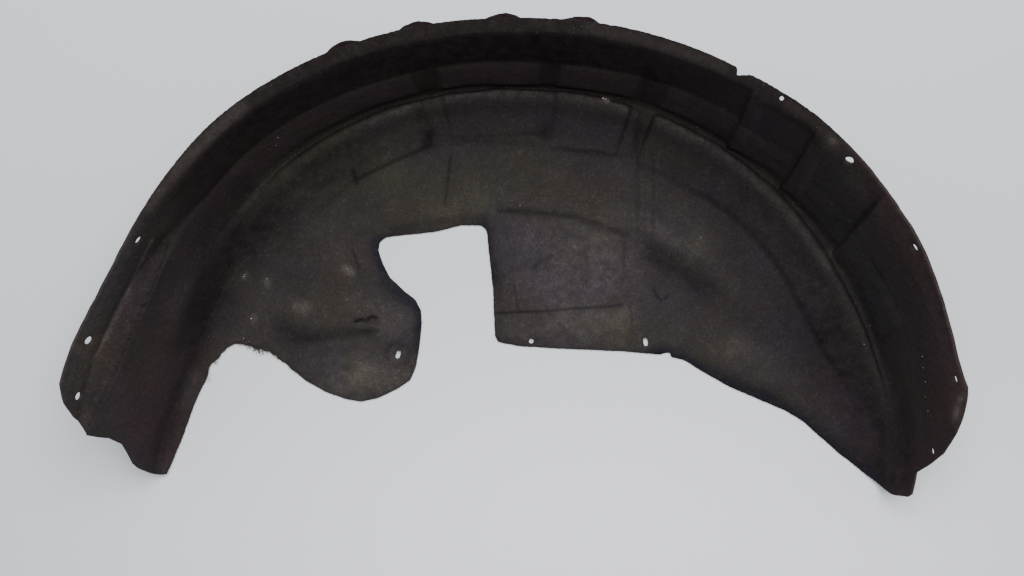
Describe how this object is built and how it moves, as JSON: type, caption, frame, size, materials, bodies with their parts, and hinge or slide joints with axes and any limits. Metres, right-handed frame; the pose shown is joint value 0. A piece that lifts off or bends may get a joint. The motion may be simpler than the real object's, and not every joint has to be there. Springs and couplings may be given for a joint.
{
  "type": "wheel arch liner",
  "caption": "Moulded felt liner for a car's wheel arch: a deep curved tread wall with a lip, a bead and an inner disc with a strut cut-out.",
  "frame": {"origin": "middle of the footprint, on the floor under the disc's back face", "axes": "+Z is the wheel's axle direction, up out of the disc towards the open side; +Y points to the arch's top; +X runs across the arch from the left leg to the right leg as seen from the wheel's side"},
  "size_m": [0.9316, 0.5207, 0.22],
  "materials": {
    "moulded_felt": "matte"
  },
  "bodies": {
    "root": {"liner": "moulded_felt"}
  },
  "joints": []
}
